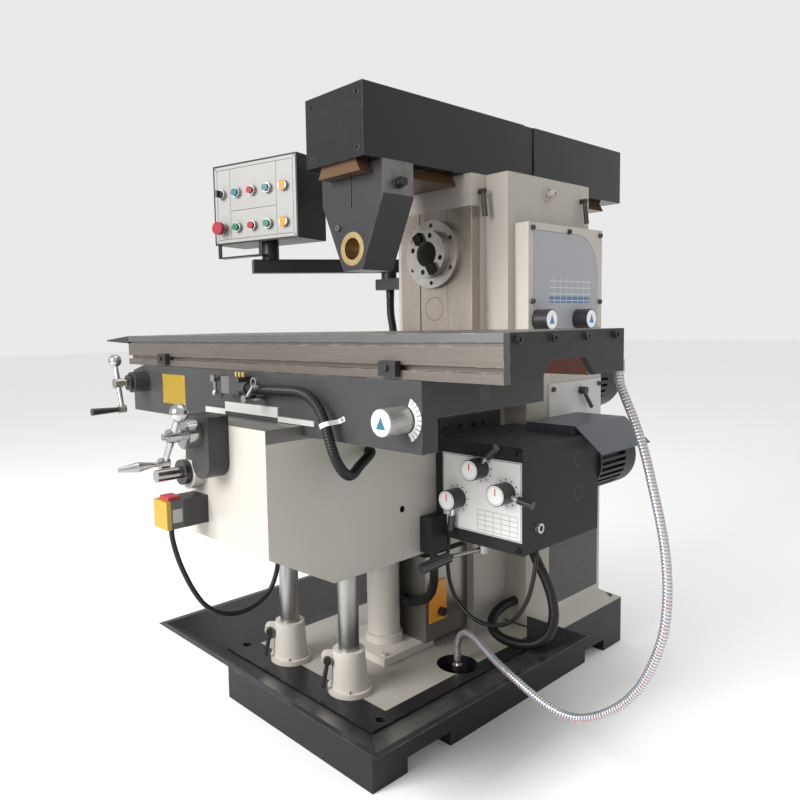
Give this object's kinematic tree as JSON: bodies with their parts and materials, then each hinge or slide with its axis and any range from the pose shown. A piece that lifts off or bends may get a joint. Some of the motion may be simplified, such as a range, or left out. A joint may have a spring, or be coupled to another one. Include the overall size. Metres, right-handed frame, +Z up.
{
  "type": "horizontal milling machine",
  "caption": "Knee-type horizontal milling machine with over-arm, arbor support, power-fed table, switch pendant and coolant tray, as jointed separate pieces",
  "frame": {"origin": "on the floor under the base, in the machine's centre plane and below the plane y = 0 just inside the column", "axes": "+X to the operator's right along the table, -Y towards the operator along the spindle, +Z up"},
  "size_m": [1.5828, 1.797, 1.574],
  "materials": {
    "cream_paint": "semi-gloss enamel on cast iron",
    "dark_paint": "dark enamel",
    "charcoal_paint": "charcoal enamel on cast iron",
    "charcoal_iron": "charcoal painted casting with scraped ways",
    "grey_paint": "grey-blue enamel on sheet",
    "bare_iron": "ground iron",
    "steel": "turned steel",
    "chrome": "polished",
    "aluminium": "satin",
    "bronze": "turned",
    "rubber": "ribbed belt",
    "black_plastic": "moulded",
    "red_plastic": "moulded",
    "blue_plastic": "moulded",
    "green_plastic": "moulded",
    "hose_plastic": "clear hose with a wire spiral"
  },
  "bodies": {
    "frame": {"base_casting": "cream_paint", "coolant_tray": "dark_paint", "column": "cream_paint", "column_fittings": "cream_paint", "spindle_bearings": "steel", "main_motor": "dark_paint", "drive_belt": "rubber", "screw_tube": "cream_paint", "post_cups": "cream_paint", "way_guard": "steel", "pendant_conduit": "black_plastic", "coolant_hose": "hose_plastic"},
    "overarm": {"overarm": "charcoal_paint"},
    "support": {"arbor_support": "charcoal_paint", "arbor_bush": "bronze"},
    "spindle": {"spindle": "steel"},
    "motor_rotor": {"motor_pulley": "bare_iron"},
    "knee": {"knee": "cream_paint", "knee_posts": "chrome", "feed_box": "charcoal_paint", "feed_motor": "dark_paint", "crank_housing": "charcoal_paint", "safety_switch": "black_plastic", "splash_guard": "grey_paint", "knee_cables": "black_plastic", "feed_conduits": "black_plastic"},
    "lift_screw": {"lift_screw": "steel"},
    "saddle": {"saddle": "charcoal_iron", "saddle_fittings": "aluminium", "saddle_conduit": "black_plastic"},
    "table_screw": {"table_screw": "steel"},
    "table": {"table": "bare_iron", "table_fittings": "charcoal_paint"},
    "table_crank": {"table_crank": "chrome"},
    "cross_crank": {"cross_crank": "chrome"},
    "lift_shaft": {"lift_shaft": "steel"},
    "speed_knob_front": {"speed_knob_front": "black_plastic"},
    "speed_knob_rear": {"speed_knob_rear": "black_plastic"},
    "panel_lever": {"panel_lever": "black_plastic"},
    "saddle_knob": {"saddle_knob": "aluminium"},
    "box_knob_top": {"box_knob_top": "black_plastic"},
    "box_knob_left": {"box_knob_left": "black_plastic"},
    "box_knob_right": {"box_knob_right": "black_plastic"},
    "feed_lever": {"feed_lever": "black_plastic"},
    "overarm_lever_front": {"overarm_lever_front": "black_plastic"},
    "overarm_lever_rear": {"overarm_lever_rear": "black_plastic"},
    "post_lever_left": {"post_lever_left": "black_plastic"},
    "post_lever_right": {"post_lever_right": "black_plastic"},
    "table_clamp_lever": {"table_clamp_lever": "chrome"},
    "saddle_clamp_lever": {"saddle_clamp_lever": "chrome"},
    "pendant_arm": {"pendant_arm": "dark_paint"},
    "pendant_box": {"pendant_box": "dark_paint"},
    "estop_button": {"estop_button": "red_plastic"},
    "selector_switch": {"selector_switch": "black_plastic"},
    "blue_button_left": {"blue_button_left": "blue_plastic"},
    "red_button_top": {"red_button_top": "red_plastic"},
    "blue_button_right": {"blue_button_right": "blue_plastic"},
    "green_button_left": {"green_button_left": "green_plastic"},
    "red_button_low": {"red_button_low": "red_plastic"},
    "green_button_right": {"green_button_right": "green_plastic"}
  },
  "joints": [
    {"name": "overarm_slide", "type": "slide", "parent": "frame", "child": "overarm", "axis": [0, 1, 0], "range_m": [-0.25, 0.1]},
    {"name": "support_slide", "type": "slide", "parent": "overarm", "child": "support", "axis": [0, 1, 0], "range_m": [-0.04, 0.04]},
    {"name": "spindle_spin", "type": "hinge", "parent": "frame", "child": "spindle", "pos_m": [0, -0.1, 1.199], "axis": [0, 1, 0], "continuous": true},
    {"name": "motor_spin", "type": "hinge", "parent": "frame", "child": "motor_rotor", "pos_m": [0, 0.3, 0.805], "axis": [0, 1, 0], "continuous": true},
    {"name": "knee_lift", "type": "slide", "parent": "frame", "child": "knee", "axis": [0, 0, 1], "range_m": [-0.16, 0.055], "deforming": ["coolant_hose", "feed_conduits", "knee_cables"]},
    {"name": "lift_screw_spin", "type": "hinge", "parent": "knee", "child": "lift_screw", "pos_m": [0, -0.29, 0.5], "axis": [0, 0, 1], "continuous": true},
    {"name": "saddle_cross", "type": "slide", "parent": "knee", "child": "saddle", "axis": [0, 1, 0], "range_m": [-0.09, 0.17], "deforming": ["coolant_hose", "saddle_conduit"]},
    {"name": "table_screw_spin", "type": "hinge", "parent": "saddle", "child": "table_screw", "pos_m": [0, -0.5, 0.872], "axis": [1, 0, 0], "continuous": true},
    {"name": "table_feed", "type": "slide", "parent": "saddle", "child": "table", "axis": [1, 0, 0], "range_m": [-0.4, 0.32], "deforming": ["coolant_hose"]},
    {"name": "table_crank_turn", "type": "hinge", "parent": "saddle", "child": "table_crank", "pos_m": [-0.548, -0.768, 0.862], "axis": [0, 1, 0], "continuous": true},
    {"name": "cross_crank_turn", "type": "hinge", "parent": "knee", "child": "cross_crank", "pos_m": [-0.02, -0.892, 0.783], "axis": [0, 1, 0], "continuous": true},
    {"name": "lift_shaft_turn", "type": "hinge", "parent": "knee", "child": "lift_shaft", "pos_m": [-0.11, -0.84, 0.682], "axis": [0, 1, 0], "continuous": true},
    {"name": "speed_knob_front_turn", "type": "hinge", "parent": "frame", "child": "speed_knob_front", "pos_m": [0.242, 0.072, 1.01], "axis": [1, 0, 0], "range_deg": [-150, 150]},
    {"name": "speed_knob_rear_turn", "type": "hinge", "parent": "frame", "child": "speed_knob_rear", "pos_m": [0.242, 0.275, 1.01], "axis": [1, 0, 0], "range_deg": [-150, 150]},
    {"name": "panel_lever_turn", "type": "hinge", "parent": "frame", "child": "panel_lever", "pos_m": [0.246, 0.287, 0.804], "axis": [1, 0, 0], "range_deg": [-30, 30]},
    {"name": "saddle_knob_turn", "type": "hinge", "parent": "saddle", "child": "saddle_knob", "pos_m": [0.452, -0.684, 0.836], "axis": [0, 1, 0], "range_deg": [-140, 140]},
    {"name": "box_knob_top_turn", "type": "hinge", "parent": "knee", "child": "box_knob_top", "pos_m": [0.302, -0.261, 0.664], "axis": [0, 1, 0], "range_deg": [-35, 35]},
    {"name": "box_knob_left_turn", "type": "hinge", "parent": "knee", "child": "box_knob_left", "pos_m": [0.234, -0.261, 0.581], "axis": [0, 1, 0], "range_deg": [-40, 5]},
    {"name": "box_knob_right_turn", "type": "hinge", "parent": "knee", "child": "box_knob_right", "pos_m": [0.375, -0.261, 0.616], "axis": [0, 1, 0], "range_deg": [-35, 35]},
    {"name": "feed_lever_turn", "type": "hinge", "parent": "knee", "child": "feed_lever", "pos_m": [0.3, -0.245, 0.465], "axis": [0, 0, 1], "range_deg": [-15, 15]},
    {"name": "overarm_lever_front_turn", "type": "hinge", "parent": "frame", "child": "overarm_lever_front", "pos_m": [0.128, -0.03, 1.356], "axis": [1, 0, 0], "range_deg": [-40, 11]},
    {"name": "overarm_lever_rear_turn", "type": "hinge", "parent": "frame", "child": "overarm_lever_rear", "pos_m": [0.198, 0.365, 1.356], "axis": [1, 0, 0], "range_deg": [-40, 40]},
    {"name": "post_lever_left_turn", "type": "hinge", "parent": "frame", "child": "post_lever_left", "pos_m": [-0.14811, -0.56224, 0.221], "axis": [0.7547, -0.6561, 0], "range_deg": [-70, 0]},
    {"name": "post_lever_right_turn", "type": "hinge", "parent": "frame", "child": "post_lever_right", "pos_m": [0.07988, -0.56224, 0.221], "axis": [0.7547, -0.6561, 0], "range_deg": [-70, 0]},
    {"name": "table_clamp_turn", "type": "hinge", "parent": "saddle", "child": "table_clamp_lever", "pos_m": [-0.15, -0.702, 0.888], "axis": [0, 1, 0], "range_deg": [-40, 40]},
    {"name": "saddle_clamp_turn", "type": "hinge", "parent": "saddle", "child": "saddle_clamp_lever", "pos_m": [0.03, -0.736, 0.852], "axis": [0, 1, 0], "range_deg": [-40, 40]},
    {"name": "pendant_swing", "type": "hinge", "parent": "frame", "child": "pendant_arm", "pos_m": [-0.265, 0.025, 1.15], "axis": [0, 0, 1], "range_deg": [-60, 10]},
    {"name": "box_swivel", "type": "hinge", "parent": "pendant_arm", "child": "pendant_box", "pos_m": [-0.43189, -0.31416, 1.258], "axis": [0, 0, 1], "range_deg": [-45, 45]},
    {"name": "estop_press", "type": "slide", "parent": "pendant_box", "child": "estop_button", "axis": [-0.2672, 0.9636, 0], "range_m": [0, 0.005], "stiffness_N_per_m": 800, "springref_m": -0.002},
    {"name": "selector_turn", "type": "hinge", "parent": "pendant_box", "child": "selector_switch", "pos_m": [-0.52626, -0.42335, 1.40705], "axis": [-0.2672, 0.9636, 0], "range_deg": [-45, 45]},
    {"name": "blue_button_left_press", "type": "slide", "parent": "pendant_box", "child": "blue_button_left", "axis": [-0.2672, 0.9636, 0], "range_m": [0, 0.005], "stiffness_N_per_m": 800, "springref_m": -0.002},
    {"name": "red_button_top_press", "type": "slide", "parent": "pendant_box", "child": "red_button_top", "axis": [-0.2672, 0.9636, 0], "range_m": [0, 0.005], "stiffness_N_per_m": 800, "springref_m": -0.002},
    {"name": "blue_button_right_press", "type": "slide", "parent": "pendant_box", "child": "blue_button_right", "axis": [-0.2672, 0.9636, 0], "range_m": [0, 0.005], "stiffness_N_per_m": 800, "springref_m": -0.002},
    {"name": "green_button_left_press", "type": "slide", "parent": "pendant_box", "child": "green_button_left", "axis": [-0.2672, 0.9636, 0], "range_m": [0, 0.005], "stiffness_N_per_m": 800, "springref_m": -0.002},
    {"name": "red_button_low_press", "type": "slide", "parent": "pendant_box", "child": "red_button_low", "axis": [-0.2672, 0.9636, 0], "range_m": [0, 0.005], "stiffness_N_per_m": 800, "springref_m": -0.002},
    {"name": "green_button_right_press", "type": "slide", "parent": "pendant_box", "child": "green_button_right", "axis": [-0.2672, 0.9636, 0], "range_m": [0, 0.005], "stiffness_N_per_m": 800, "springref_m": -0.002}
  ],
  "couplings": [
    {"joint": "motor_spin", "follows": "spindle_spin", "ratio": 1.56},
    {"joint": "lift_shaft_turn", "follows": "lift_screw_spin", "ratio": 2},
    {"joint": "table_crank_turn", "follows": "table_screw_spin", "ratio": 1}
  ]
}
